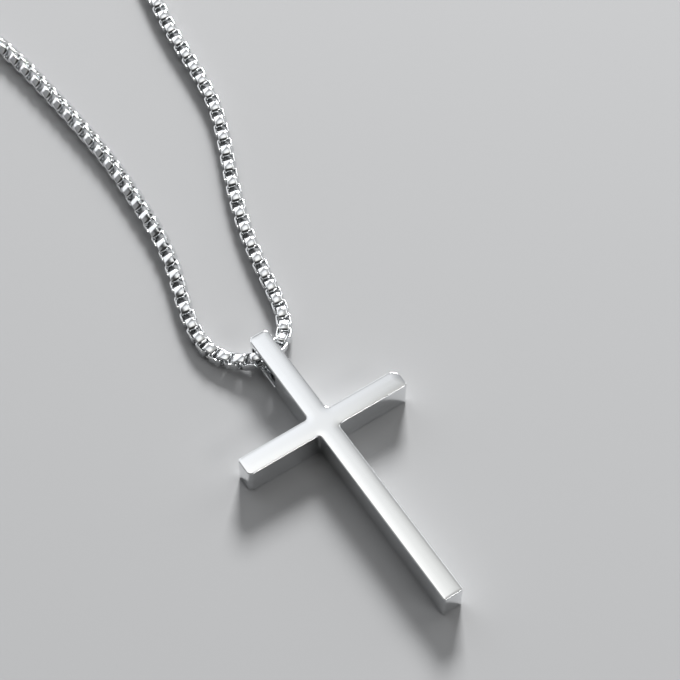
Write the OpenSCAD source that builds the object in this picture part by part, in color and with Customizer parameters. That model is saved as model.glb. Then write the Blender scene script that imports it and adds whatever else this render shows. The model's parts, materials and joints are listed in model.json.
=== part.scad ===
// Plain cross pendant on a round box chain, laid flat with the chain closed in one loop.
// Millimetres. The origin is the middle of the crossing on the pendant's back face,
// +Z is up out of its front face and +Y runs to its head.

/* [Cross] */
// Height of the cross from head to foot
cross_h = 50; // [42:0.5:60]
// Width across both side arms
cross_w = 27; // [20:0.5:40]
// Length of the head, from the middle of the crossing
head_len = 17.7; // [15:0.1:22]
// Width of each bar
bar_w = 3.2; // [3:0.1:4]
// Thickness of the bars from back to front
bar_t = 5; // [4.6:0.1:6]
// Radius of the bars' end corners seen from the front
end_r = 0.7; // [0.6:0.05:1.2]
// Radius of the polished edges
edge_r = 0.35; // [0.2:0.05:0.5]

/* [Bail slot] */
// Length of the slot along the head
slot_len = 6.2; // [5:0.1:8]
// Wall between the slot and the head's end
slot_end_wall = 1.1; // [0.9:0.1:2]
// Radius of the slot's corners seen from the side
slot_r = 0.5; // [0.2:0.05:0.9]
// Room above and below the chain in the slot
slot_room = 0.3; // [0.2:0.05:0.5]

/* [Chain] */
// Outside diameter of the round box chain
chain_d = 2.4; // [2:0.1:2.6]
// Gap between the chain's side and the slot's end wall
seat_gap = 0.5; // [0.3:0.05:0.8]
// Wall left outside the hole in each end of the chain
chain_end_wall = 0.4; // [0.3:0.05:0.6]

/* [Rings] */
// Inside diameter of the two jump rings
ring_in_d = 3.4; // [3.2:0.1:4]
// Wire of the two jump rings
ring_wire = 0.7; // [0.5:0.05:0.8]
// Gap between a ring and what it passes through
ring_gap = 0.1; // [0.08:0.01:0.15]

/* [Clasp] */
// Length of the clasp from eye to nose
clasp_len = 12; // [11:0.5:16]
// Width across the clasp's hook
clasp_w = 5.8; // [5.4:0.1:8]
// Thickness of the clasp's body
clasp_t = 3.2; // [3:0.1:4]
// Thickness of the clasp's eye and hook
clasp_plate_t = 1.2; // [1:0.1:1.4]
// Width of the metal round the clasp's eye
eye_wall = 0.8; // [0.6:0.1:1.2]
// Width of the metal at the clasp's nose and sides
hook_wall = 1.1; // [0.8:0.1:1.2]

/* [Hidden] */

// Facets on what is hulled
facets = 32;
// How far a cut runs past the metal that it goes through
cut_past = 1;

// Width of the hook's opening at its narrow end, as a share of its wide end
hook_neck_share = 0.7;

// The cross and its slot
foot_len = cross_h - head_len;
arm_len = cross_w / 2;
slot_h = chain_d + 2 * slot_room;
slot_top = head_len - slot_end_wall;
slot_floor = (bar_t - slot_h) / 2;

// The jump rings stand upright on the surface, each through an end of the chain
chain_r = chain_d / 2;
ring_mid_r = (ring_in_d + ring_wire) / 2;
ring_z = ring_mid_r + ring_wire / 2;
// How far from a ring's centre a wall inside it may reach, at a height above or below the centre
function ring_clear(rise) = sqrt(pow(ring_in_d / 2 - ring_gap, 2) - pow(rise, 2));
ring_far = ring_mid_r + ring_wire / 2 + ring_gap;
end_hole_d = ring_far - ring_clear(chain_r);
end_hole_inset = chain_end_wall + end_hole_d / 2;
ring_reach = ring_clear(chain_r) - chain_end_wall;

// The clasp lies between the rings, on the thickest part of its body
clasp_z = clasp_t / 2;
plate_clear = ring_clear(ring_z - clasp_z + clasp_plate_t / 2);
eye_hole_d = ring_far - plate_clear;
eye_r = eye_hole_d / 2 + eye_wall;
claw_r = clasp_w / 2;
hook_x = clasp_len - claw_r;
hook_open_r = claw_r - hook_wall;
hook_neck_r = hook_neck_share * hook_open_r;
hook_neck_x = hook_x - hook_open_r;
rings_apart = clasp_len + 2 * plate_clear - eye_wall - hook_wall;
chain_ends_apart = rings_apart + 2 * ring_reach;

// The chain's route. It runs from the left end at the clasp, down the left strand, through
// the slot and up the right strand. Each row has x, the distance y past the seat in the slot,
// the share of its rise into the slot and the share of its rise to the jump rings.
seat_y = slot_top - chain_r - seat_gap;
seat_z = slot_floor + slot_room + chain_r;
clasp_mid_x = 10;
clasp_y = 270;
left_strand = [
    [-0.5, clasp_y, 0, 1],
    [-8.5, 267.5, 0, 0.3],
    [-20, 257, 0, 0],
    [-31, 237, 0, 0],
    [-36.5, 212, 0, 0],
    [-36.5, 186, 0, 0],
    [-32, 160, 0, 0],
    [-24, 135, 0, 0],
    [-15.5, 112, 0, 0],
    [-8.5, 92, 0, 0],
    [-4, 74, 0, 0],
    [-2.4, 62, 0, 0],
    [-1.5, 51, 0, 0],
    [-1.2, 43, 0, 0],
    [-1.5, 35, 0, 0],
    [-2, 28, 0, 0],
    [-3.2, 21.6, 0, 0],
    [-5.2, 15.4, 0, 0],
    [-6.4, 10.6, 0, 0],
    [-6.6, 7, 0, 0],
    [-6, 4.7, 0, 0],
    [-4.9, 3.1, 0.05, 0],
    [-3.9, 1.9, 0.25, 0],
    [-2.9, 0.8, 0.7, 0],
    [-1.5, 0.1, 1, 0]
];
right_strand = [
    [1.5, 0.1, 1, 0],
    [2.9, 0.8, 0.7, 0],
    [4, 1.8, 0.25, 0],
    [4.9, 3.1, 0.05, 0],
    [6, 5.2, 0, 0],
    [6.8, 8.4, 0, 0],
    [7.5, 12, 0, 0],
    [8.6, 17.6, 0, 0],
    [10.4, 24.1, 0, 0],
    [13, 31, 0, 0],
    [16, 38, 0, 0],
    [18.4, 45, 0, 0],
    [19.6, 53, 0, 0],
    [20.3, 60, 0, 0],
    [21.5, 67.5, 0, 0],
    [24.5, 80, 0, 0],
    [30, 96, 0, 0],
    [38, 115, 0, 0],
    [46, 136, 0, 0],
    [53, 160, 0, 0],
    [56.5, 186, 0, 0],
    [56.5, 212, 0, 0],
    [51, 237, 0, 0],
    [40, 257, 0, 0],
    [28.5, 267.5, 0, 0.3],
    [20.5, clasp_y, 0, 1]
];

// Length of tube between two rings of its skin
ring_step = 9;
// Sides of the chain's tube
tube_sides = 8;

function route_point(row) =
    [row[0], seat_y + row[1],
     chain_r + row[2] * (seat_z - chain_r) + row[3] * (ring_z - chain_r)];
function route_end(side) = [clasp_mid_x + side * chain_ends_apart / 2, clasp_y, 0, 1];
route = [for (row = concat([route_end(-1)], left_strand, [[0, 0, 1, 0]], right_strand,
                           [route_end(1)])) route_point(row)];

// A smooth curve through the route's points, which never dips into the surface
function knot(i) =
    i < 0 ? 2 * route[0] - route[1]
    : i >= len(route) ? 2 * route[len(route) - 1] - route[len(route) - 2]
    : route[i];
function curve_point(i, t) =
    0.5 * (2 * knot(i) + (knot(i + 1) - knot(i - 1)) * t
           + (2 * knot(i - 1) - 5 * knot(i) + 4 * knot(i + 1) - knot(i + 2)) * pow(t, 2)
           + (3 * knot(i) - knot(i - 1) - 3 * knot(i + 1) + knot(i + 2)) * pow(t, 3));
function on_surface(p) = [p[0], p[1], max(p[2], chain_r)];
function curve_steps(i) = max(1, round(norm(knot(i + 1) - knot(i)) / ring_step));
path = [
    for (i = [0 : len(route) - 2]) let (steps = curve_steps(i))
        for (k = [0 : steps - 1]) on_surface(curve_point(i, k / steps)),
    route[len(route) - 1]
];

function unit(v) = v / norm(v);
function path_heading(i) = unit(path[min(i + 1, len(path) - 1)] - path[max(i - 1, 0)]);

// One ring of the tube's skin, with a corner straight down
function tube_ring(i) =
    let (along = path_heading(i), side = unit(cross([0, 0, 1], along)), up = cross(along, side))
    [for (k = [0 : tube_sides - 1]) let (turn = 360 * k / tube_sides)
        path[i] + chain_r * (side * sin(turn) - up * cos(turn))];

module rounded_bar(low, high) {
    // A bar from one corner to the other with rounded ends and edges
    hull()
        for (x = [low[0] + end_r, high[0] - end_r], y = [low[1] + end_r, high[1] - end_r],
             z = [edge_r, bar_t - edge_r])
            translate([x, y, z])
                rotate_extrude($fn = facets)
                    intersection() {
                        translate([end_r - edge_r, 0]) circle(edge_r, $fn = facets);
                        translate([0, -edge_r]) square([end_r, 2 * edge_r]);
                    }
}

module slot_opening() {
    hull()
        for (y = [slot_top - slot_len + slot_r, slot_top - slot_r],
             z = [slot_floor + slot_r, slot_floor + slot_h - slot_r])
            translate([-bar_w / 2 - cut_past, y, z])
                rotate([0, 90, 0])
                    cylinder(h = bar_w + 2 * cut_past, r = slot_r, $fn = facets);
}

module cross_pendant() {
    color("white")
        difference() {
            union() {
                rounded_bar([-bar_w / 2, -foot_len], [bar_w / 2, head_len]);
                rounded_bar([-arm_len, -bar_w / 2], [arm_len, bar_w / 2]);
            }
            slot_opening();
        }
}

module chain_tube() {
    rings = [for (i = [0 : len(path) - 1]) tube_ring(i)];
    last = len(path) - 1;
    polyhedron(
        points = [for (ring = rings) each ring],
        faces = concat(
            [[for (k = [0 : tube_sides - 1]) k]],
            [for (i = [0 : last - 1], k = [0 : tube_sides - 1])
                let (a = i * tube_sides + k, b = i * tube_sides + (k + 1) % tube_sides)
                [a, a + tube_sides, b + tube_sides, b]],
            [[for (k = [tube_sides - 1 : -1 : 0]) last * tube_sides + k]]
        )
    );
}

module chain_end_hole(end, inward) {
    // The hole in an end link that a jump ring passes through
    translate(end + inward * end_hole_inset - [0, 0, chain_r + cut_past])
        cylinder(h = chain_d + 2 * cut_past, d = end_hole_d);
}

module chain() {
    last = len(path) - 1;
    color("silver")
        difference() {
            chain_tube();
            chain_end_hole(path[0], path_heading(0));
            chain_end_hole(path[last], -path_heading(last));
        }
}

module jump_ring(x) {
    // A closed ring standing across the clasp's line
    color("silver")
        translate([x, seat_y + clasp_y, ring_z])
            rotate([90, 0, 0])
                rotate_extrude()
                    translate([ring_mid_r, 0])
                        circle(d = ring_wire);
}

module clasp_outline() {
    hull() {
        translate([eye_r, 0]) circle(eye_r, $fn = facets);
        translate([hook_x, 0]) circle(claw_r, $fn = facets);
    }
}

module hook_opening() {
    hull() {
        translate([hook_x, 0]) circle(hook_open_r, $fn = facets);
        translate([hook_neck_x, 0]) circle(hook_neck_r, $fn = facets);
    }
}

module clasp() {
    // A flat eye and hook with a thicker rounded body between them, in one piece
    color("silver")
        translate([clasp_mid_x - rings_apart / 2 + plate_clear - eye_wall, seat_y + clasp_y, clasp_z])
            difference() {
                union() {
                    translate([0, 0, -clasp_plate_t / 2])
                        linear_extrude(clasp_plate_t)
                            clasp_outline();
                    hull()
                        for (x = [2 * eye_r - eye_wall + clasp_z, hook_neck_x])
                            translate([x, 0, 0]) sphere(clasp_z, $fn = facets);
                }
                translate([eye_r, 0, -clasp_t])
                    cylinder(h = 2 * clasp_t, d = eye_hole_d);
                translate([0, 0, -clasp_t])
                    linear_extrude(2 * clasp_t)
                        hook_opening();
            }
}

cross_pendant();  // cross
chain();
clasp();
jump_ring(clasp_mid_x - rings_apart / 2);  // clasp_ring
jump_ring(clasp_mid_x + rings_apart / 2);  // end_ring
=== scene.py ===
"""A polished steel cross pendant threaded on its round box chain.

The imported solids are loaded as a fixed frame, in metres. Each sub-assembly is a class that
holds its sizes, builds its mesh in place and dresses it with its own finish.
"""

from __future__ import annotations

import json
import logging
import math
import sys
from collections.abc import Sequence
from dataclasses import dataclass
from enum import Enum

import bmesh
import bpy
import numpy as np
from mathutils import Matrix, Vector

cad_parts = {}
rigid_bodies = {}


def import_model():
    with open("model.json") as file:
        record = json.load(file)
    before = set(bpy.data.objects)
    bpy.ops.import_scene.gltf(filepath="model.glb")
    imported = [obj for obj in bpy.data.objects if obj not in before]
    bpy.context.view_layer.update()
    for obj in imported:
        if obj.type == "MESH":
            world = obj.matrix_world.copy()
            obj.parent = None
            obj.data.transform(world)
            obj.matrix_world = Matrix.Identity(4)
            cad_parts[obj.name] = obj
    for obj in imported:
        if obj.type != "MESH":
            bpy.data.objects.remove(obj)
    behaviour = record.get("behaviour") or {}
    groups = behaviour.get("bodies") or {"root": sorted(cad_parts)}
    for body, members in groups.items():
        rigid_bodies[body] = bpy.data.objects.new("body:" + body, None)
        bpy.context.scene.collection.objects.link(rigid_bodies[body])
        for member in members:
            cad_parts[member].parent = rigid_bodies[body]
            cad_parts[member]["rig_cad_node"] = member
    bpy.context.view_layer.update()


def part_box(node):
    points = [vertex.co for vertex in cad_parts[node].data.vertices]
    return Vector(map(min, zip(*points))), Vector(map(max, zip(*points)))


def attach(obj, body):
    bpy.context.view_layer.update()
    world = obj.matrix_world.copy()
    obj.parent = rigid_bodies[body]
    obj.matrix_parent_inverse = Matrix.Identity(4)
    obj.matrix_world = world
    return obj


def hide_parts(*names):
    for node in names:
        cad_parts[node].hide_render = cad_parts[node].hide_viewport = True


MM = 0.001
WELD = 0.0005 * MM
BODY = "root"

Way = tuple[float, float, float]
Color = tuple[float, float, float, float]
Span = tuple[float, float]
Socket = bpy.types.NodeSocket

log = logging.getLogger("pendant")


class Tree:
    """A node tree under construction, for a material, the room or geometry."""

    def __init__(self, nodes: bpy.types.NodeTree) -> None:
        """Hold the tree that nodes are added to.

        Args:
            nodes: The tree, empty or with its outputs already there.
        """
        self.tree = nodes

    def node(self, kind: str, **inputs: object) -> bpy.types.Node:
        """Add one node and fill or link its inputs.

        Args:
            kind: Blender's name of the node type.
            **inputs: Values or output sockets by input name with _ for a space, or by the
                input's place as in0, in1. A name that is no input is set as a property.

        Returns:
            The new node.
        """
        made = self.tree.nodes.new(kind)
        pending = {}
        for name, value in inputs.items():
            if hasattr(made, name) and not self.is_place(name):
                setattr(made, name, value)
            else:
                pending[name] = value
        for name, value in pending.items():
            self.feed(made, name, value)
        return made

    @staticmethod
    def is_place(name: str) -> bool:
        """Whether a name gives an input's place, such as in0."""
        return name[:2] == "in" and name[2:].isdigit()

    def feed(self, made: bpy.types.Node, name: str, value: object) -> None:
        """Set or link one input of a node.

        Args:
            made: The node.
            name: The input's name with _ for a space, or its place as in0.
            value: A plain value, or the output socket that feeds it.
        """
        if self.is_place(name):
            socket = made.inputs[int(name[2:])]
        else:
            socket = made.inputs[name.replace("_", " ")]
        if isinstance(value, bpy.types.NodeSocket):
            self.tree.links.new(value, socket)
        else:
            socket.default_value = value

    def math(self, how: str, *terms: object) -> Socket:
        """One sum on numbers.

        Args:
            how: Blender's name of the operation.
            *terms: Numbers or sockets, in order.

        Returns:
            The result's socket.
        """
        made = self.tree.nodes.new("ShaderNodeMath")
        made.operation = how
        for place, term in enumerate(terms):
            self.feed(made, f"in{place}", term)
        return made.outputs[0]

    def plus(self, one: object, other: object) -> Socket:
        """Two numbers or sockets added."""
        return self.math("ADD", one, other)

    def minus(self, one: object, other: object) -> Socket:
        """The first of two numbers or sockets less the second."""
        return self.math("SUBTRACT", one, other)

    def times(self, one: object, other: object) -> Socket:
        """Two numbers or sockets multiplied."""
        return self.math("MULTIPLY", one, other)

    def ranged(
        self, value: Socket, span: Span = (0.0, 1.0), to: Span = (0.0, 1.0), how: str = "LINEAR"
    ) -> Socket:
        """Carry a value from one range to another, held at the ends.

        Args:
            value: The value.
            span: Its range. It may run downwards.
            to: What it becomes at the range's start and end.
            how: Blender's name of the way between the two.

        Returns:
            The result's socket.
        """
        made = self.node("ShaderNodeMapRange", interpolation_type=how, in0=value)
        for place, number in enumerate((*span, *to), start=1):
            self.feed(made, f"in{place}", number)
        return made.outputs[0]

    def edge(self, value: Socket, span: Span) -> Socket:
        """A share that goes softly from 0 to 1 over a range."""
        return self.ranged(value, span, how="SMOOTHSTEP")

    def mixed(self, share: Socket, plain: Color, full: Color) -> Socket:
        """Two colors mixed by the second's share."""
        made = self.node("ShaderNodeMix", data_type="RGBA", in0=share, in6=plain, in7=full)
        return made.outputs[2]

    def noise(self, place: Socket, scale: float, detail: float, rough: float = 0.5) -> Socket:
        """A cloudy noise from 0 to 1."""
        made = self.node("ShaderNodeTexNoise", in0=place, Scale=scale, Detail=detail)
        self.feed(made, "Roughness", rough)
        return made.outputs[0]

    def stored(self, shape: Socket, name: str, value: object, domain: str = "POINT") -> Socket:
        """Store a number on a geometry.

        Args:
            shape: The geometry.
            name: The attribute's name.
            value: The number.
            domain: Blender's name of what carries it.

        Returns:
            The geometry with its attribute.
        """
        made = self.node(
            "GeometryNodeStoreNamedAttribute",
            data_type="FLOAT",
            domain=domain,
            Geometry=shape,
            Name=name,
            Value=value,
        )
        return made.outputs[0]

    def named(self, name: str) -> Socket:
        """A number that a geometry carries."""
        made = self.node("GeometryNodeInputNamedAttribute", data_type="FLOAT", Name=name)
        return made.outputs[0]


class Finish:
    """Base of the finishes: a material whose main shader each subclass dresses."""

    name: str

    def material(self) -> bpy.types.Material:
        """Build the finish's material, once.

        Returns:
            The material.
        """
        found = bpy.data.materials.get(self.name)
        if found:
            return found
        made = bpy.data.materials.new(self.name)
        made.use_nodes = True
        self.dress(Tree(made.node_tree), made.node_tree.nodes["Principled BSDF"])
        return made

    def dress(self, tree: Tree, shader: bpy.types.Node) -> None:
        """Fill the shader, in each finish's own way."""
        raise NotImplementedError


@dataclass(frozen=True)
class PolishedSteel(Finish):
    """The cross's hand-polished steel: a soft mirror, faintly wiped and slightly wavy."""

    name: str = "polished_steel"
    tint: Color = (0.86, 0.87, 0.88, 1)
    worn_tint: Color = (0.78, 0.79, 0.81, 1)
    worn_span: Span = (0.2, 0.5)
    smooth: float = 0.06
    marked: float = 0.12
    marked_span: Span = (0.3, 0.75)
    wave_size: float = 7 * MM
    wave_depth: float = 0.004 * MM
    wave_detail: float = 2.0
    wave_share: float = 0.5
    mark_width: float = 0.06 * MM
    mark_length: float = 2.4 * MM
    mark_depth: float = 0.0006 * MM
    mark_strength: float = 0.35
    mark_detail: float = 3.0
    mark_rough: float = 0.6
    wiped_ways: tuple[float, float] = (0, 62)

    def dress(self, tree: Tree, shader: bpy.types.Node) -> None:
        """Tone and roughness from wiping marks, bump from a slow waviness.

        Args:
            tree: The material's tree.
            shader: Its main shader.
        """
        place = tree.node("ShaderNodeTexCoord").outputs["Object"]
        wiped = tree.times(*[self.marks(tree, place, degrees) for degrees in self.wiped_ways])
        clouds = tree.noise(place, 1 / self.wave_size, self.wave_detail)
        worn = tree.ranged(wiped, self.worn_span)
        tree.feed(shader, "Base_Color", tree.mixed(worn, self.tint, self.worn_tint))
        uneven = tree.plus(wiped, tree.times(clouds, self.wave_share))
        gloss = tree.ranged(uneven, self.marked_span, (self.smooth, self.marked))
        tree.feed(shader, "Roughness", gloss)
        waves = tree.node("ShaderNodeBump", Strength=1.0, Distance=self.wave_depth, Height=clouds)
        hair = tree.node(
            "ShaderNodeBump",
            Strength=self.mark_strength,
            Distance=self.mark_depth,
            Height=wiped,
            Normal=waves.outputs[0],
        )
        tree.feed(shader, "Normal", hair.outputs[0])
        shader.inputs["Metallic"].default_value = 1.0

    def marks(self, tree: Tree, place: Socket, degrees: float) -> Socket:
        """Long fine marks that all run one way.

        Args:
            tree: The material's tree.
            place: The place on the piece.
            degrees: Their turn from the cross's length.

        Returns:
            The marks' socket.
        """
        lie = tree.node(
            "ShaderNodeMapping",
            in0=place,
            in2=(0, 0, math.radians(degrees)),
            in3=(1 / self.mark_width, 1 / self.mark_length, 1 / self.mark_width),
        )
        return tree.noise(lie.outputs[0], 1.0, self.mark_detail, self.mark_rough)


@dataclass(frozen=True)
class LinkSteel(Finish):
    """Tumble-polished links, bright outside, with painted shade and more roughness inside the bands
    and on the links' ends.
    """

    name: str = "chain_steel"
    tint: Color = (0.84, 0.85, 0.86, 1)
    # Colour of the painted shade inside the bands and on the links' ends.
    recess_tint: Color = (0.03, 0.03, 0.032, 1)
    smooth: float = 0.13
    recess_dull: float = 0.42
    link_spread: float = 0.05
    dint_size: float = 0.5 * MM
    dint_depth: float = 0.01 * MM
    dint_strength: float = 0.5
    dint_detail: float = 1.0
    grime_fineness: float = 0.6
    shade_mottle_detail: float = 3.0
    shade_least: float = 0.55
    shade_spread: float = 0.7

    def dress(self, tree: Tree, shader: bpy.types.Node) -> None:
        """Painted shade and roughness from the recess mask, mottled by noise, more roughness from
        the tone attribute, bump from small dints.

        Args:
            tree: The material's tree.
            shader: Its main shader.
        """
        place = tree.node("ShaderNodeTexCoord").outputs["Object"]
        # Mask of painted shade, carried on the links' geometry.
        recess = tree.node("ShaderNodeAttribute", attribute_name="recess").outputs["Fac"]
        tone = tree.node("ShaderNodeAttribute", attribute_name="tone").outputs["Fac"]
        # Noise that varies how dark the painted shade is.
        shade_mottle = tree.noise(place, self.grime_fineness / self.dint_size, self.shade_mottle_detail)
        amount = tree.plus(self.shade_least, tree.times(shade_mottle, self.shade_spread))
        painted_shade = tree.times(recess, amount)
        # Painted shade: the inside of the bands and the links' ends darkened nearly to black.
        tree.feed(shader, "Base_Color", tree.mixed(painted_shade, self.tint, self.recess_tint))
        gloss = tree.ranged(painted_shade, to=(self.smooth, self.recess_dull))
        tree.feed(shader, "Roughness", tree.plus(gloss, tree.times(tone, self.link_spread)))
        bump = tree.node(
            "ShaderNodeBump",
            Strength=self.dint_strength,
            Distance=self.dint_depth,
            Height=tree.noise(place, 1 / self.dint_size, self.dint_detail),
        )
        tree.feed(shader, "Normal", bump.outputs[0])
        shader.inputs["Metallic"].default_value = 1.0


@dataclass(frozen=True)
class FindingSteel(Finish):
    """Plain polished steel of the clasp and its rings, with a slightly mottled gloss."""

    name: str
    tint: Color = (0.82, 0.83, 0.84, 1)
    handled: Color = (0.7, 0.71, 0.72, 1)
    smooth: float = 0.12
    dull: float = 0.24
    dull_span: Span = (0.3, 0.7)
    mottle_size: float = 1.1 * MM
    mottle_depth: float = 0.006 * MM
    mottle_strength: float = 0.4
    mottle_detail: float = 4.0

    def dress(self, tree: Tree, shader: bpy.types.Node) -> None:
        """Tone, roughness and a shallow bump from one mottle.

        Args:
            tree: The material's tree.
            shader: Its main shader.
        """
        place = tree.node("ShaderNodeTexCoord").outputs["Object"]
        cloud = tree.noise(place, 1 / self.mottle_size, self.mottle_detail)
        tree.feed(shader, "Base_Color", tree.mixed(cloud, self.tint, self.handled))
        gloss = tree.ranged(cloud, self.dull_span, (self.smooth, self.dull))
        tree.feed(shader, "Roughness", gloss)
        bump = tree.node(
            "ShaderNodeBump",
            Strength=self.mottle_strength,
            Distance=self.mottle_depth,
            Height=cloud,
        )
        tree.feed(shader, "Normal", bump.outputs[0])
        shader.inputs["Metallic"].default_value = 1.0


def placed(name: str, mesh: bpy.types.Mesh, finish: Finish) -> bpy.types.Object:
    """Put a finished mesh into the scene, smooth, with one finish.

    Args:
        name: The piece's name.
        mesh: Its mesh, in place in the row frame.
        finish: Its finish.

    Returns:
        The new object, at the origin.
    """
    mesh.materials.clear()
    mesh.materials.append(finish.material())
    mesh.shade_smooth()
    made = bpy.data.objects.new(name, mesh)
    bpy.context.scene.collection.objects.link(made)
    return made


def closed_mesh(name: str, form: bmesh.types.BMesh) -> bpy.types.Mesh:
    """Merge what meets, turn the faces outwards and keep the form as a mesh.

    Args:
        name: The mesh's name.
        form: The form, which is freed.

    Returns:
        The mesh.
    """
    bmesh.ops.remove_doubles(form, verts=form.verts, dist=WELD)
    bmesh.ops.recalc_face_normals(form, faces=form.faces)
    mesh = bpy.data.meshes.new(name)
    form.to_mesh(mesh)
    form.free()
    return mesh


def band(form: bmesh.types.BMesh, one: Sequence, other: Sequence, skip: Sequence[int] = ()) -> None:
    """Join two loops of as many vertices with quads.

    Args:
        form: The mesh.
        one: The first loop.
        other: The second loop.
        skip: Places along the loops that stay open.
    """
    count = len(one)
    for k in range(count):
        if k not in skip:
            after = (k + 1) % count
            form.faces.new((one[k], one[after], other[after], other[k]))


@dataclass(frozen=True)
class Corner:
    """One corner of the cross seen from the front: where its sides meet, and its rounding."""

    x: float
    y: float
    radius: float
    inner: bool = False


@dataclass
class Cross:
    """The cross: one polished bar section in four arms, with a slot through the head."""

    bar: float = 3.2 * MM
    thick: float = 5 * MM
    width: float = 27 * MM
    head: float = 17.7 * MM
    foot: float = 32.3 * MM
    head_left_r: float = 0.85 * MM
    head_right_r: float = 0.7 * MM
    left_arm_top_r: float = 0.5 * MM
    left_arm_low_r: float = 0.85 * MM
    right_arm_top_r: float = 1.4 * MM
    right_arm_low_r: float = 0.45 * MM
    foot_r: float = 0.3 * MM
    crossing_r: float = 0.5 * MM
    worn_crossing_r: float = 0.75 * MM
    edge_r: float = 0.17 * MM
    back_rim: float = 0.05 * MM
    crown_width: float = 1.35 * MM
    crown_drop: float = 0.035 * MM
    crown_steps: int = 4
    slot_low: float = 10.4 * MM
    slot_high: float = 16.6 * MM
    slot_tall: float = 3 * MM
    slot_r: float = 0.5 * MM
    slot_edge_r: float = 0.14 * MM
    slot_edge_steps: int = 3
    slot_frame: float = 0.22 * MM
    arc_steps: int = 6

    def corners(self) -> list[Corner]:
        """The twelve corners, anticlockwise from the foot's right.

        Returns:
            The corners in order.
        """
        b, w = self.bar / 2, self.width / 2
        return [
            Corner(b, -self.foot, self.foot_r),
            Corner(b, -b, self.crossing_r, True),
            Corner(w, -b, self.right_arm_low_r),
            Corner(w, b, self.right_arm_top_r),
            Corner(b, b, self.worn_crossing_r, True),
            Corner(b, self.head, self.head_right_r),
            Corner(-b, self.head, self.head_left_r),
            Corner(-b, b, self.crossing_r, True),
            Corner(-w, b, self.left_arm_top_r),
            Corner(-w, -b, self.left_arm_low_r),
            Corner(-b, -b, self.crossing_r, True),
            Corner(-b, -self.foot, self.foot_r),
        ]

    def pierced(self) -> Span:
        """Where the pierced stretch of the head's sides starts and ends."""
        return self.slot_low - self.slot_frame, self.slot_high + self.slot_frame

    def outline(self, inset: float) -> list[Vector]:
        """The cross's outline from the front, moved in from its sides.

        Args:
            inset: How far in from the outer outline.

        Returns:
            Points in the plane, as many and in the same order for every inset.
        """
        corners = self.corners()
        points = []
        for i, here in enumerate(corners):
            before, after = corners[i - 1], corners[(i + 1) % len(corners)]
            spot = Vector((here.x, here.y))
            back = (Vector((before.x, before.y)) - spot).normalized()
            ahead = (Vector((after.x, after.y)) - spot).normalized()
            middle = spot + (back + ahead) * here.radius
            reach = here.radius + inset if here.inner else here.radius - inset
            for step in range(self.arc_steps + 1):
                turn = math.pi / 2 * step / self.arc_steps
                way = -ahead * math.cos(turn) - back * math.sin(turn)
                if here.inner or reach > 0:
                    points.append(middle + way * reach)
                else:
                    points.append(spot + (back + ahead) * inset)
            if here.x == after.x and min(here.y, after.y) > 0:
                side = here.x - math.copysign(inset, here.x)
                top = self.head - max(inset, self.slot_frame)
                reached = [min(y, top) for y in self.pierced()]
                rising = after.y > here.y
                points += [Vector((side, y)) for y in (reached if rising else reached[::-1])]
        return points

    def levels(self) -> list[tuple[float, float]]:
        """The bars' section from the back's flat to the front's, as inset and height.

        Returns:
            Inset and height of each level.
        """
        arc = [math.pi / 2 * i / self.arc_steps for i in range(self.arc_steps + 1)]
        low = [(self.edge_r * (1 - math.sin(a)), self.edge_r * (1 - math.cos(a))) for a in arc]
        high = [(rise, self.thick - self.crown_drop - inset) for inset, rise in low[:-1]]
        crown = []
        for i in range(self.crown_steps + 1):
            share = i / self.crown_steps
            inset = self.edge_r + (self.crown_width - self.edge_r) * share
            crown.append((inset, self.thick - self.crown_drop * (1 - share) ** 2))
        return [(self.edge_r + self.back_rim, 0.0)] + low + high + crown

    def slot_loop(
        self, form: bmesh.types.BMesh, x: float, grown: float
    ) -> list[bmesh.types.BMVert]:
        """One loop of the slot's wall.

        Args:
            form: The mesh it is added to.
            x: Its place across the head.
            grown: How far it lies outside the slot's wall.

        Returns:
            The loop's vertices in order.
        """
        middle_z = self.thick / 2
        half_y = (self.slot_high - self.slot_low) / 2 - self.slot_r
        half_z = self.slot_tall / 2 - self.slot_r
        middle_y = (self.slot_high + self.slot_low) / 2
        reach = self.slot_r + grown
        loop = []
        for quarter, (sy, sz) in enumerate([(1, 1), (-1, 1), (-1, -1), (1, -1)]):
            for step in range(self.arc_steps + 1):
                turn = math.pi / 2 * (quarter + step / self.arc_steps)
                y = middle_y + sy * half_y + reach * math.cos(turn)
                z = middle_z + sz * half_z + reach * math.sin(turn)
                loop.append(form.verts.new((x, y, z)))
        return loop

    def side_panels(self, outline: list[Vector]) -> list[int]:
        """The places on the outline where a side of the head is pierced.

        Args:
            outline: The outer outline.

        Returns:
            The index of each pierced stretch's first point.
        """
        found = []
        for k, point in enumerate(outline):
            ends = sorted((point.y, outline[(k + 1) % len(outline)].y))
            if all(abs(end - wanted) < WELD for end, wanted in zip(ends, self.pierced())):
                found.append(k)
        return found

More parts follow.
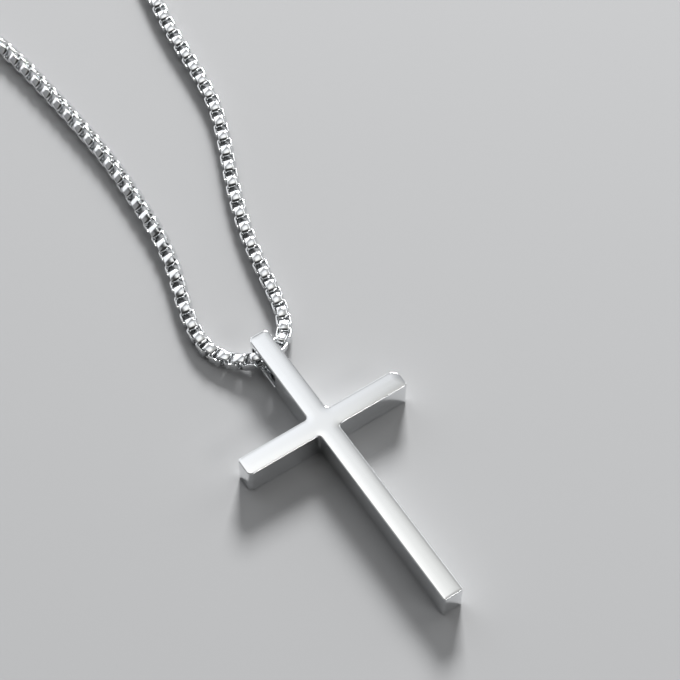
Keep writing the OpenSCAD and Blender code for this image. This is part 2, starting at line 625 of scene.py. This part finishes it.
    def pierce(
        self, form: bmesh.types.BMesh, low: Sequence, high: Sequence, panels: Sequence[int]
    ) -> None:
        """Build the slot's wall and join it to the head's two sides.

        Args:
            form: The mesh it is added to.
            low: The loop round the sides' lower end.
            high: The loop round their upper end.
            panels: Where on those loops the sides are pierced.
        """
        arcs = [math.pi / 2 * i / self.slot_edge_steps for i in range(self.slot_edge_steps + 1)]
        mouth = []
        for a in arcs:
            x = self.bar / 2 - self.slot_edge_r * (1 - math.cos(a))
            mouth.append((x, self.slot_edge_r * (1 - math.sin(a))))
        loops = [self.slot_loop(form, x, grown) for x, grown in mouth]
        loops += [self.slot_loop(form, -x, grown) for x, grown in mouth[::-1]]
        for one, other in zip(loops, loops[1:]):
            band(form, one, other)
        for k in panels:
            after = (k + 1) % len(low)
            panel = [low[k], low[after], high[after], high[k]]
            hole = loops[0] if panel[0].co.x > 0 else loops[-1]
            edges = []
            for loop in (panel, hole):
                for one, other in zip(loop, loop[1:] + loop[:1]):
                    edges.append(form.edges.get((one, other)) or form.edges.new((one, other)))
            bmesh.ops.triangle_fill(form, use_beauty=True, edges=edges)

    def mesh(self) -> bpy.types.Mesh:
        """Build the cross.

        Returns:
            Its closed mesh.
        """
        form = bmesh.new()
        loops = []
        for inset, z in self.levels():
            loops.append([form.verts.new((p.x, p.y, z)) for p in self.outline(inset)])
        panels = self.side_panels(self.outline(0.0))
        wall = self.arc_steps + 1
        for i, (one, other) in enumerate(zip(loops, loops[1:])):
            band(form, one, other, panels if i == wall else ())
        form.faces.new(loops[0][::-1])
        form.faces.new(loops[-1])
        self.pierce(form, loops[wall], loops[wall + 1], panels)
        return closed_mesh("cross_steel", form)

    def build(self) -> bpy.types.Object:
        """Build, dress and place the cross.

        Returns:
            The piece.
        """
        made = placed("cross_polished", self.mesh(), PolishedSteel())
        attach(made, BODY)
        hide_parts("cross")
        return made


def running_length(line: np.ndarray) -> np.ndarray:
    """The length along a line at each of its points."""
    return np.concatenate([[0], np.cumsum(np.linalg.norm(np.diff(line, axis=0), axis=1))])


# The chain's route: x and y in millimetres from the seat in the slot, then the share of the
# rise into the slot and the share of the rise to the jump rings. CLASP_Y is the clasp's y.
CLASP_Y = 270
LEFT_STRAND = [
    (-0.5, CLASP_Y, 0, 1), (-8.5, 267.5, 0, 0.3), (-20, 257, 0, 0), (-31, 237, 0, 0),
    (-36.5, 212, 0, 0), (-36.5, 186, 0, 0), (-32, 160, 0, 0), (-24, 135, 0, 0),
    (-15.5, 112, 0, 0), (-8.5, 92, 0, 0), (-4, 74, 0, 0), (-2.4, 62, 0, 0),
    (-1.5, 51, 0, 0), (-1.2, 43, 0, 0), (-1.5, 35, 0, 0), (-2, 28, 0, 0),
    (-3.2, 21.6, 0, 0), (-5.2, 15.4, 0, 0), (-6.4, 10.6, 0, 0), (-6.6, 7, 0, 0),
    (-6, 4.7, 0, 0), (-4.9, 3.1, 0.05, 0), (-3.9, 1.9, 0.25, 0), (-2.9, 0.8, 0.7, 0),
    (-1.5, 0.1, 1, 0),
]
RIGHT_STRAND = [
    (1.5, 0.1, 1, 0), (2.9, 0.8, 0.7, 0), (4, 1.8, 0.25, 0), (4.9, 3.1, 0.05, 0),
    (6, 5.2, 0, 0), (6.8, 8.4, 0, 0), (7.5, 12, 0, 0), (8.6, 17.6, 0, 0),
    (10.4, 24.1, 0, 0), (13, 31, 0, 0), (16, 38, 0, 0), (18.4, 45, 0, 0),
    (19.6, 53, 0, 0), (20.3, 60, 0, 0), (21.5, 67.5, 0, 0), (24.5, 80, 0, 0),
    (30, 96, 0, 0), (38, 115, 0, 0), (46, 136, 0, 0), (53, 160, 0, 0),
    (56.5, 186, 0, 0), (56.5, 212, 0, 0), (51, 237, 0, 0), (40, 257, 0, 0),
    (28.5, 267.5, 0, 0.3), (20.5, CLASP_Y, 0, 1),
]


@dataclass
class Route:
    """The line that the chain follows, from its left end through the slot to its right end."""

    chain_r: float = 1.2 * MM
    rest_gap: float = 0.03 * MM
    seat_y: float = 14.9 * MM
    seat_z: float = 2.5 * MM
    ring_z: float = 2.4 * MM
    clasp_x: float = 10 * MM
    ends_apart: float = 12.966 * MM
    ease: float = 1.75 * MM
    spacing: float = 0.05 * MM
    fine: int = 48

    def knots(self) -> np.ndarray:
        """The route's chosen points.

        Returns:
            The points in the row frame, in metres.
        """
        reach = self.ends_apart / 2 / MM
        middle = self.clasp_x / MM
        rows = [(middle - reach, CLASP_Y, 0, 1), *LEFT_STRAND, (0, 0, 1, 0), *RIGHT_STRAND]
        rows.append((middle + reach, CLASP_Y, 0, 1))
        x, y, seat, ring = np.array(rows, float).T
        z = self.chain_r + seat * (self.seat_z - self.chain_r) + ring * (self.ring_z - self.chain_r)
        return np.stack([x * MM, self.seat_y + y * MM, z], axis=1)

    def line(self) -> np.ndarray:
        """A smooth curve through the knots that never dips into the surface.

        Returns:
            Close points along it.
        """
        p = self.knots()
        p = np.vstack([2 * p[0] - p[1], p, 2 * p[-1] - p[-2]])
        t = (np.arange(self.fine) / self.fine)[:, None]
        runs = []
        for a, b, c, d in zip(p, p[1:], p[2:], p[3:]):
            bend = (2 * a - 5 * b + 4 * c - d) * t**2 + (3 * b - a - 3 * c + d) * t**3
            runs.append(0.5 * (2 * b + (c - a) * t + bend))
        line = self.eased(np.vstack([*runs, p[-2]]))
        line[:, 2] = np.maximum(line[:, 2], self.chain_r + self.rest_gap)
        return line

    def eased(self, line: np.ndarray) -> np.ndarray:
        """Ease the sharp bends with a running mean, taken twice.

        Args:
            line: Close points.

        Returns:
            Evenly spaced points with the same ends.
        """
        run = running_length(line)
        even = np.linspace(0, run[-1], round(run[-1] / self.spacing) + 1)
        line = np.array([np.interp(even, run, line[:, k]) for k in range(3)]).T
        reach = round(self.ease / self.spacing)
        width = 2 * reach + 1
        for _ in range(2):
            before = 2 * line[0] - line[reach:0:-1]
            after = 2 * line[-1] - line[-2 : -reach - 2 : -1]
            sums = np.cumsum(np.vstack([np.zeros(3), before, line, after]), axis=0)
            line = (sums[width:] - sums[:-width]) / width
        return line


# How far the chain lies rolled about its own line: the length from the slot's middle in
# millimetres, and the roll in degrees.
ROLLS = [
    (-70, 46), (-50, 46), (-38, 36), (-28, 24), (-19, 14), (-13, 4),
    (-8, 0), (8, 0), (16, -6), (30, -8), (80, -8),
]

# How much closer than pulled straight the links sit about the slot and at the clasp: the
# length from the slot's middle, and the difference in pitch, both in millimetres.
TAKEN_UP = [
    (-300, 0.07), (-272, 0.07), (-266, 0), (-15, 0), (-10.5, 0.25),
    (-4.5, 0.21), (4, 0.21), (6, 0.24), (15, 0.24), (18, 0),
    (266, 0), (272, 0.07), (300, 0.07),
]


@dataclass
class Seats:
    """Where each link sits on the route, closer together about the slot and at the clasp."""

    route: Route
    link_length: float = 2.22 * MM
    end_inset: float = 0.4 * MM
    pitch: float = 1.5 * MM
    band_up_at: float = -11.76 * MM
    roll_ends: float = 30 * MM
    level_links: int = 2
    samples: int = 6000

    def measured(self) -> tuple[np.ndarray, np.ndarray, float]:
        """The route with its running length.

        Returns:
            The points, their length from the left end, and the length at the slot's middle.
        """
        line = self.route.line()
        run = running_length(line)
        middle = np.array([0, self.route.seat_y, self.route.seat_z])
        return line, run, float(run[np.argmin(np.linalg.norm(line - middle, axis=1))])

    def spaced(self, whole: float, slot: float) -> np.ndarray:
        """The running length at each link's middle.

        A turned link sits at band_up_at, and both end links are unturned, so there is an odd
        number of steps to either side of it.

        Args:
            whole: The route's whole length.
            slot: The length at the slot's middle.

        Returns:
            The lengths, from the left end link to the right one.
        """
        first = self.end_inset + self.link_length / 2
        at = np.linspace(first, whole - first, self.samples)
        stretch, less = np.array(TAKEN_UP, float).T * MM
        pitch = self.pitch - np.interp(at - slot, stretch, less)
        steps = np.diff(at) / ((pitch[1:] + pitch[:-1]) / 2)
        count = np.concatenate([[0], np.cumsum(steps)])
        anchor = float(np.interp(slot + self.band_up_at, at, count))
        before = 2 * round((anchor - 1) / 2) + 1
        after = 2 * round((count[-1] - anchor - 1) / 2) + 1
        left = np.arange(before) / before * anchor
        right = anchor + np.arange(after + 1) / after * (count[-1] - anchor)
        return np.interp(np.concatenate([left, right]), count, at)

    def places(self) -> tuple[np.ndarray, np.ndarray]:
        """Each link's middle, and how far the chain is rolled there.

        Returns:
            The middles, and the rolls in radians.
        """
        line, run, slot = self.measured()
        where = self.spaced(run[-1], slot)
        middles = np.array([np.interp(where, run, line[:, k]) for k in range(3)]).T
        lengths, degrees = np.array(ROLLS, float).T
        rolls = np.radians(np.interp(where - slot, lengths * MM, degrees))
        to_end = np.minimum(where, run[-1] - where) - self.level_links * self.link_length
        return middles, rolls * np.clip(to_end / self.roll_ends, 0, 1)


@dataclass
class BoxChain:
    """The round box chain: interlocking crowned links, every second one turned a quarter.

    A link's section is drawn from a circle of radius 1. Its points past inner_from make the
    crowned outer side and the rest the flat inner side, and each side is squared to the
    band's width. end_reach and flank_reach say how near a link's end, in walls, and its
    flank, in corner radii, a point gets painted shade, darkened in its colour.
    """

    seats: Seats
    width: float = 2.4 * MM
    band_width: float = 1.44 * MM
    wall: float = 0.31 * MM
    crown: float = 0.1 * MM
    crown_power: float = 3.0
    corner_r: float = 0.44 * MM
    corner_steps: int = 2
    section_sides: int = 8
    inner_from: float = -0.3
    inner_square: float = 2.3
    outer_square: float = 1.15
    end_reach: float = 1.05
    flank_reach: float = 0.9
    seed: int = 5

    def guide(self) -> bpy.types.Object:
        """A bare line with one vertex at each link's middle.

        Returns:
            The object that carries the links' modifier.
        """
        places, rolls = self.seats.places()
        places[:, 2] += self.lift(rolls)
        mesh = bpy.data.meshes.new("chain_links")
        steps = [(i, i + 1) for i in range(len(places) - 1)]
        mesh.from_pydata([tuple(p) for p in places], steps, [])
        for name, values in (("roll", rolls), ("turned", np.arange(len(places)) % 2)):
            stored = mesh.attributes.new(name, "FLOAT", "POINT")
            stored.data.foreach_set("value", values.astype(np.float32))
        made = bpy.data.objects.new("chain_links", mesh)
        bpy.context.scene.collection.objects.link(made)
        return made

    def lift(self, rolls: np.ndarray) -> np.ndarray:
        """How far a rolled stretch rises to stay on the surface.

        Args:
            rolls: The rolls in radians.

        Returns:
            The rise of each link.
        """
        flank, edge = self.width / 2 - self.crown, self.band_width / 2
        sine, cosine = abs(np.sin(rolls)), np.cos(rolls)
        deepest = np.maximum(flank * cosine + edge * sine, flank * sine + edge * cosine)
        return np.maximum(deepest - self.width / 2, 0)

    def sizes(self) -> dict[str, tuple[str, float]]:
        """The tree's inputs.

        Returns:
            The kind of socket and the value, by the input's name.
        """
        length = "NodeSocketFloat"
        return {
            "Link Length": (length, self.seats.link_length),
            "Link Width": (length, self.width),
            "Band Width": (length, self.band_width),
            "Wall": (length, self.wall),
            "Crown": (length, self.crown),
            "Corner Radius": (length, self.corner_r),
            "Corner Steps": ("NodeSocketInt", self.corner_steps),
            "Section Sides": ("NodeSocketInt", self.section_sides),
            "Seed": ("NodeSocketInt", self.seed),
        }

    def section(self, tree: Tree, sizes: dict[str, Socket]) -> Socket:
        """The band's section: flat inside, crowned outside.

        Args:
            tree: The geometry tree.
            sizes: The tree's inputs by name.

        Returns:
            The profile curve, with its mask for painted shade on the inner side.
        """
        ring = tree.node(
            "GeometryNodeCurvePrimitiveCircle", Resolution=sizes["Section Sides"], Radius=1.0
        )
        place = tree.node("GeometryNodeInputPosition").outputs[0]
        x, y, _ = tree.node("ShaderNodeSeparateXYZ", in0=place).outputs
        outer = tree.math("GREATER_THAN", x, self.inner_from)
        less = tree.times(outer, self.inner_square - self.outer_square)
        spread = tree.times(y, tree.minus(self.inner_square, less))
        across = tree.math("MINIMUM", 1.0, tree.math("MAXIMUM", -1.0, spread))
        bow = tree.math("POWER", tree.math("ABSOLUTE", across), self.crown_power)
        fall = tree.times(sizes["Crown"], bow)
        out = tree.times(outer, tree.minus(sizes["Wall"], fall))
        moved = tree.node(
            "ShaderNodeCombineXYZ",
            in0=tree.minus(out, tree.times(sizes["Wall"], 0.5)),
            in1=tree.times(across, tree.times(sizes["Band Width"], 0.5)),
            in2=0.0,
        )
        shaped = tree.node(
            "GeometryNodeSetPosition", Geometry=ring.outputs[0], Position=moved.outputs[0]
        )
        # Mask of the inner side, which the chain's finish darkens as painted shade.
        return tree.stored(shaped.outputs[0], "recess", tree.minus(1.0, outer))

    def link(self, tree: Tree, sizes: dict[str, Socket]) -> Socket:
        """One link, its length along Z and its window open along Y.

        Args:
            tree: The geometry tree.
            sizes: The tree's inputs by name.

        Returns:
            The link's mesh.
        """
        loop = tree.node(
            "GeometryNodeCurvePrimitiveQuadrilateral",
            in0=tree.minus(sizes["Link Length"], sizes["Wall"]),
            in1=tree.minus(sizes["Link Width"], sizes["Wall"]),
        )
        rounded = tree.node(
            "GeometryNodeFilletCurve",
            mode="POLY",
            Curve=loop.outputs[0],
            Count=sizes["Corner Steps"],
            Radius=tree.minus(sizes["Corner Radius"], tree.times(sizes["Wall"], 0.5)),
        )
        level = tree.node("GeometryNodeSetCurveNormal", mode="Z_UP", Curve=rounded.outputs[0])
        section = self.section(tree, sizes)
        swept = tree.node("GeometryNodeCurveToMesh", Curve=level.outputs[0], in1=section)
        # Painted shade mask: the inner side and the links' ends, darkened in the finish.
        marked = tree.stored(swept.outputs[0], "recess", self.painted_shade_share(tree, sizes))
        stand = Matrix(((0, 1, 0), (0, 0, 1), (1, 0, 0))).to_euler()
        return tree.node("GeometryNodeTransform", in0=marked, Rotation=stand).outputs[0]

    def painted_shade_share(self, tree: Tree, sizes: dict[str, Socket]) -> Socket:
        """How far a point gets painted shade: inside the band or on a link's end.

        Args:
            tree: The geometry tree.
            sizes: The tree's inputs by name.

        Returns:
            The share's socket.
        """
        place = tree.node("GeometryNodeInputPosition").outputs[0]
        x, y, _ = tree.node("ShaderNodeSeparateXYZ", in0=place).outputs
        end = tree.minus(
            tree.times(sizes["Link Length"], 0.5), tree.times(sizes["Wall"], self.end_reach)
        )
        flank = tree.minus(
            tree.times(sizes["Link Width"], 0.5),
            tree.times(sizes["Corner Radius"], self.flank_reach),
        )
        ends = tree.times(
            tree.math("GREATER_THAN", tree.math("ABSOLUTE", x), end),
            tree.math("LESS_THAN", tree.math("ABSOLUTE", y), flank),
        )
        return tree.math("MAXIMUM", tree.named("recess"), ends)

    @staticmethod
    def seated(tree: Tree, guide: Socket) -> tuple[Socket, Socket]:
        """The links' middles and the way that each link faces.

        Args:
            tree: The geometry tree.
            guide: The guide's line.

        Returns:
            The points and their rotation.
        """
        line = tree.node("GeometryNodeMeshToCurve", in0=guide)
        level = tree.node("GeometryNodeSetCurveNormal", mode="Z_UP", Curve=line.outputs[0])
        points = tree.node("GeometryNodeCurveToPoints", mode="EVALUATED", in0=level.outputs[0])
        quarter = tree.times(tree.named("turned"), math.pi / 2)
        spin = tree.node(
            "FunctionNodeAxisAngleToRotation",
            Axis=(0.0, 0.0, 1.0),
            Angle=tree.plus(quarter, tree.named("roll")),
        )
        facing = tree.node(
            "FunctionNodeRotateRotation",
            rotation_space="LOCAL",
            in0=points.outputs["Rotation"],
            in1=spin.outputs[0],
        )
        return points.outputs["Points"], facing.outputs[0]

    def tree(self) -> bpy.types.NodeTree:
        """Build the tree that sets a link on each vertex of the guide.

        Returns:
            The geometry tree.
        """
        group = bpy.data.node_groups.new("links_on_route", "GeometryNodeTree")
        sockets = group.interface
        sockets.new_socket(name="Geometry", in_out="INPUT", socket_type="NodeSocketGeometry")
        for name, (kind, _) in self.sizes().items():
            sockets.new_socket(name=name, in_out="INPUT", socket_type=kind)
        sockets.new_socket(name="Geometry", in_out="OUTPUT", socket_type="NodeSocketGeometry")
        tree = Tree(group)
        given = tree.node("NodeGroupInput")
        sizes = {name: given.outputs[name] for name in self.sizes()}
        points, facing = self.seated(tree, given.outputs["Geometry"])
        links = tree.node(
            "GeometryNodeInstanceOnPoints",
            Points=points,
            Instance=self.link(tree, sizes),
            Rotation=facing,
        )
        tone = tree.node("FunctionNodeRandomValue", data_type="FLOAT", Seed=sizes["Seed"])
        toned = tree.stored(links.outputs[0], "tone", tone.outputs[1], "INSTANCE")
        real = tree.node("GeometryNodeRealizeInstances", in0=toned)
        steel = tree.node(
            "GeometryNodeSetMaterial", Geometry=real.outputs[0], Material=LinkSteel().material()
        )
        tree.node("NodeGroupOutput", in0=steel.outputs[0])
        return group

    def build(self) -> bpy.types.Object:
        """Set the links, make them one plain mesh and place it.

        Returns:
            The piece.
        """
        guide = self.guide()
        modifier = guide.modifiers.new("links", "NODES")
        modifier.node_group = self.tree()
        for item in modifier.node_group.interface.items_tree:
            if item.in_out == "INPUT" and item.name in self.sizes():
                modifier[item.identifier] = self.sizes()[item.name][1]
        bpy.context.view_layer.update()
        solid = guide.evaluated_get(bpy.context.evaluated_depsgraph_get())
        mesh = bpy.data.meshes.new_from_object(solid)
        bare = guide.data
        guide.modifiers.remove(modifier)
        guide.data = mesh
        bpy.data.meshes.remove(bare)
        mesh.shade_smooth()
        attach(guide, BODY)
        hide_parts("chain")
        return guide


class Side(Enum):
    """The two jump rings: the one in the clasp's eye and the one on the chain's other end."""

    EYE = "clasp_ring"
    END = "end_ring"


@dataclass
class JumpRing:
    """A closed ring of round wire that stands on the surface, across the clasp's line."""

    side: Side
    wire: float = 0.7 * MM
    around: int = 48
    sides: int = 14

    def mesh(self) -> bpy.types.Mesh:
        """Build the ring where its node is.

        Returns:
            Its mesh.
        """
        low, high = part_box(self.side.value)
        middle = (low + high) / 2
        radius = (high.x - low.x - self.wire) / 2
        form = bmesh.new()
        rows = []
        for i in range(self.around):
            turn = 2 * math.pi * i / self.around
            out = Vector((math.cos(turn), 0, math.sin(turn)))
            row = []
            for k in range(self.sides):
                way = 2 * math.pi * k / self.sides
                offset = out * math.cos(way) + Vector((0, 1, 0)) * math.sin(way)
                row.append(form.verts.new(middle + out * radius + offset * self.wire / 2))
            rows.append(row)
        for one, other in zip(rows, rows[1:] + rows[:1]):
            band(form, one, other)
        return closed_mesh(self.side.value + "_wire", form)

    def build(self) -> bpy.types.Object:
        """Build, dress and place the ring.

        Returns:
            The piece.
        """
        made = placed(self.side.value + "_wire", self.mesh(), FindingSteel("ring_steel"))
        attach(made, BODY)
        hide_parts(self.side.value)
        return made


@dataclass
class Clasp:
    """The plain clasp: eye, body and hook softened into one polished piece."""

    grain: float = 0.065 * MM
    soften_rounds: int = 60
    soften_share: float = 0.5

    def build(self) -> bpy.types.Object:
        """Soften the clasp's own solid, dress and place it.

        Returns:
            The piece.
        """
        name = "clasp_steel_body"
        form = bmesh.new()
        form.from_mesh(bpy.data.objects[self.node_name()].data)
        made = placed(name, closed_mesh(name, form), FindingSteel("clasp_steel"))
        remesh = made.modifiers.new("one_skin", "REMESH")
        remesh.mode, remesh.voxel_size = "VOXEL", self.grain
        smooth = made.modifiers.new("soften", "SMOOTH")
        smooth.factor, smooth.iterations = self.soften_share, self.soften_rounds
        bpy.context.view_layer.update()
        solid = made.evaluated_get(bpy.context.evaluated_depsgraph_get())
        mesh = bpy.data.meshes.new_from_object(solid)
        made.modifiers.clear()
        made.data = mesh
        mesh.shade_smooth()
        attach(made, BODY)
        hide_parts("clasp")
        return made

    def node_name(self) -> str:
        """The name of the clasp's CAD object."""
        return next(o.name for o in bpy.data.objects if o.get("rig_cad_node") == "clasp")


@dataclass(frozen=True)
class PaleFloor(Finish):
    """The plain pale studio floor, matt and even."""

    name: str = "pale_floor"
    tint: Color = (0.345, 0.347, 0.352, 1)
    dull: float = 0.85
    sheen: float = 0.15

    def dress(self, tree: Tree, shader: bpy.types.Node) -> None:
        """One even tone.

        Args:
            tree: The material's tree, which gets no more nodes.
            shader: Its main shader.
        """
        shader.inputs["Base Color"].default_value = self.tint
        shader.inputs["Roughness"].default_value = self.dull
        shader.inputs["Specular IOR Level"].default_value = self.sheen


@dataclass(frozen=True)
class Softbox:
    """One soft area light aimed at the crossing: its place, size and power in watts."""

    name: str
    at: Way
    size: tuple[float, float]
    power: float

    def build(self) -> None:
        """Add the light."""
        lamp = bpy.data.lights.new(self.name, "AREA")
        lamp.shape = "RECTANGLE"
        lamp.size, lamp.size_y = self.size
        lamp.energy = self.power
        made = bpy.data.objects.new(self.name, lamp)
        made.location = self.at
        made.rotation_euler = Vector(self.at).to_track_quat("Z", "Y").to_euler()
        bpy.context.scene.collection.objects.link(made)


@dataclass(frozen=True)
class Glow:
    """A round soft glow far off.

    It has the way to its middle, the cosines of the angles from there at which it starts and
    is full, and its light.
    """

    way: Way
    edge: Span
    light: float

    def lit(self, tree: Tree, way: Socket) -> Socket:
        """The glow's light in each direction.

        Args:
            tree: The room's tree.
            way: The direction.

        Returns:
            The light's socket.
        """
        lean = tree.node("ShaderNodeVectorMath", operation="DOT_PRODUCT", in0=way, in1=self.way)
        return tree.times(tree.edge(lean.outputs["Value"], self.edge), self.light)


@dataclass(frozen=True)
class Canopy:
    """The broad sheet of light overhead that the cross's flat face mirrors.

    Its spans are soft edges on a plane one unit up, across or away from the crossing. Each
    bend gives where along the sheet it starts and ends, and how far it moves the sheet's
    right edge there. The gap dims a strip at the back, which the chain's bands mirror.
    """

    light: float = 0.69
    left: Span = (-0.45, -0.15)
    right: Span = (0.475, 0.21)
    front: Span = (0.08, 0.22)
    back: Span = (9, 5)
    bends: tuple[tuple[Span, Span], ...] = (
        ((0.18, 0.3), (-0.12, 0)),
        ((0.35, 0.475), (-0.03, 0)),
        ((0.475, 0.53), (0, 0.05)),
    )
    gap_near: Span = (0.62, 0.78)
    gap_far: Span = (1.4, 1.15)
    gap_depth: float = 0.66
    near_color: Color = (1.14, 1.14, 1.12, 1)
    far_color: Color = (0.945, 0.96, 0.985, 1)
    far_edge: Span = (0.36, 0.54)

    def lit(self, tree: Tree, across: Socket, along: Socket) -> Socket:
        """The sheet's light.

        Args:
            tree: The room's tree.
            across: The place across the sheet.
            along: The place along it.

        Returns:
            The light's socket.
        """
        bent = across
        for span, shifts in self.bends:
            bent = tree.minus(bent, tree.ranged(along, span, shifts))
        share = tree.edge(bent, self.right)
        for value, span in ((across, self.left), (along, self.front), (along, self.back)):
            share = tree.times(share, tree.edge(value, span))
        return tree.times(share, self.light)

    def kept(self, tree: Tree, along: Socket) -> Socket:
        """The share of the light that the gap leaves.

        Args:
            tree: The room's tree.
            along: The place along the sheet.

        Returns:
            The share's socket.
        """
        gap = tree.times(tree.edge(along, self.gap_near), tree.edge(along, self.gap_far))
        return tree.minus(1.0, tree.times(gap, self.gap_depth))

    def color(self, tree: Tree, along: Socket) -> Socket:
        """The light's color, cooler towards the back."""
        return tree.mixed(tree.edge(along, self.far_edge), self.near_color, self.far_color)


@dataclass
class Studio:
    """The pale floor, the soft lights, the room and the camera at the photograph's angle."""

    camera_at: Way = (-0.07512, -0.11757, 0.25381)
    camera_right: Way = (0.8334, -0.5527, 0)
    camera_back: Way = (-0.2897, -0.4368, 0.8517)
    focal_px: float = 2000
    frame_px: float = 680
    sensor_mm: float = 36
    clip: Span = (0.01, 20)
    floor_half: float = 2.5
    key: Softbox = Softbox("key", at=(0.734, 0.925, 0.675), size=(0.36, 0.36), power=36)
    rim: Softbox = Softbox("rim", at=(0.25, -0.7, 0.55), size=(0.5, 0.16), power=2.2)
    canopy: Canopy = Canopy()
    sky: Glow = Glow(way=(0.32, 0.48, 0.82), edge=(0.6, 1.0), light=0.4)
    right_glow: Glow = Glow(way=(0.93, 0.08, 0.36), edge=(0.93, 0.97), light=2.0)
    left_glow: Glow = Glow(way=(-0.88, 0.31, 0.37), edge=(0.85, 0.99), light=0.25)
    back_glow: Glow = Glow(way=(-0.2, 0.97, 0.15), edge=(0.74, 0.84), light=1.2)
    dim: float = 0.04
    horizon: float = 0.02

    def camera(self) -> None:
        """Add the camera."""
        data = bpy.data.cameras.new("view")
        data.sensor_width = self.sensor_mm
        data.lens = self.focal_px / self.frame_px * self.sensor_mm
        data.clip_start, data.clip_end = self.clip
        made = bpy.data.objects.new("view", data)
        back = Vector(self.camera_back).normalized()
        right = Vector(self.camera_right).normalized()
        turn = Matrix((right, back.cross(right), back)).transposed()
        made.matrix_world = Matrix.Translation(self.camera_at) @ turn.to_4x4()
        bpy.context.scene.collection.objects.link(made)
        bpy.context.scene.camera = made

    def floor(self) -> None:
        """Add the floor."""
        form = bmesh.new()
        bmesh.ops.create_grid(form, x_segments=1, y_segments=1, size=self.floor_half)
        mesh = bpy.data.meshes.new("floor")
        form.to_mesh(mesh)
        form.free()
        made = placed("floor", mesh, PaleFloor())

    def room(self) -> None:
        """A dim room: the canopy and the sky overhead, and a glow to either side and behind."""
        world = bpy.data.worlds.new("room")
        bpy.context.scene.world = world
        world.use_nodes = True
        background = world.node_tree.nodes["Background"]
        tree = Tree(world.node_tree)
        way = tree.node("ShaderNodeTexCoord").outputs["Object"]
        x, y, z = tree.node("ShaderNodeSeparateXYZ", in0=way).outputs
        height = tree.math("MAXIMUM", z, self.horizon)
        across, along = tree.math("DIVIDE", x, height), tree.math("DIVIDE", y, height)
        light = tree.plus(self.canopy.lit(tree, across, along), self.sky.lit(tree, way))
        light = tree.times(light, self.canopy.kept(tree, along))
        for glow in (self.right_glow, self.left_glow, self.back_glow):
            light = tree.plus(light, glow.lit(tree, way))
        tree.feed(background, "Strength", tree.plus(light, self.dim))
        tree.feed(background, "Color", self.canopy.color(tree, along))

    def build(self) -> None:
        """Set the stage."""
        self.camera()
        self.floor()
        self.room()
        self.key.build()
        self.rim.build()
        bpy.context.scene.view_settings.view_transform = "Standard"


def main() -> None:
    """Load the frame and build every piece."""
    logging.basicConfig(level=logging.INFO, format="%(name)s: %(message)s", stream=sys.stdout)
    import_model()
    Studio().build()
    chain = BoxChain(Seats(Route()))
    for part in (Cross(), chain, Clasp(), JumpRing(Side.EYE), JumpRing(Side.END)):
        piece = part.build()
        log.info("%s: %d faces", piece.name, len(piece.data.polygons))


if __name__ == "__main__":
    main()
